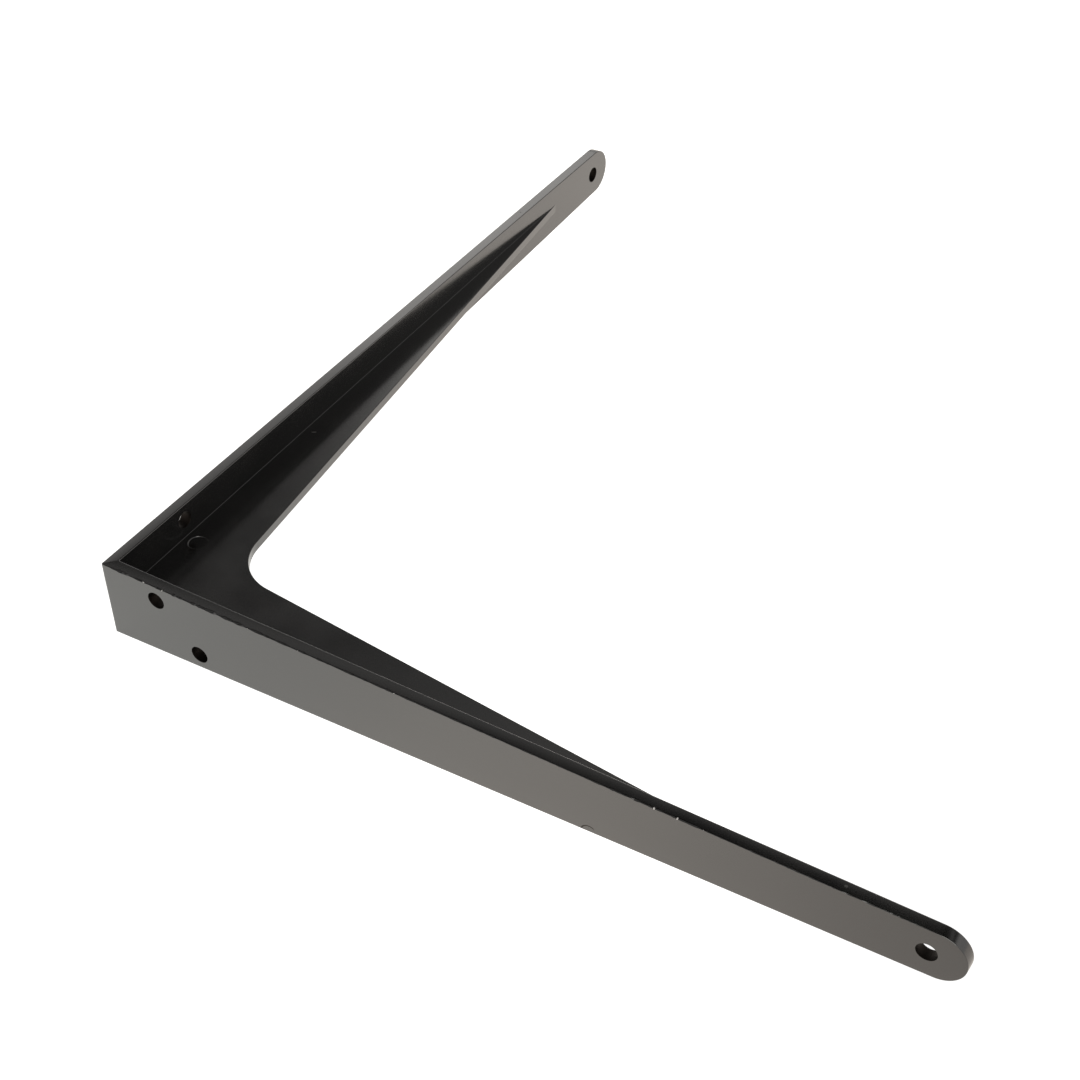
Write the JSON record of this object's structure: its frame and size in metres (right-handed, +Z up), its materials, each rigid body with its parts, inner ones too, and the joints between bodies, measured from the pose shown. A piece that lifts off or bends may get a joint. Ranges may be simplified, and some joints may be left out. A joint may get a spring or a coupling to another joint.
{
  "type": "shelf bracket",
  "caption": "One-piece cast L-shaped shelf bracket of T section: tapering flat legs with rounded ends, joined by a thin tapering web, with screw holes through the legs and satin black paint.",
  "frame": {"origin": "the outer corner where the wall leg's back meets the shelf leg's seat face, at mid-width", "axes": "+Z up, +X out from the wall along the shelf leg, Y across the width. The wall leg's back lies on X = 0 and hangs down from the origin, and the shelf leg's seat face lies on Z = 0."},
  "size_m": [0.2, 0.0204, 0.22],
  "materials": {
    "painted_casting": "satin black paint on cast aluminium"
  },
  "bodies": {
    "root": {"bracket": "painted_casting"}
  },
  "joints": []
}
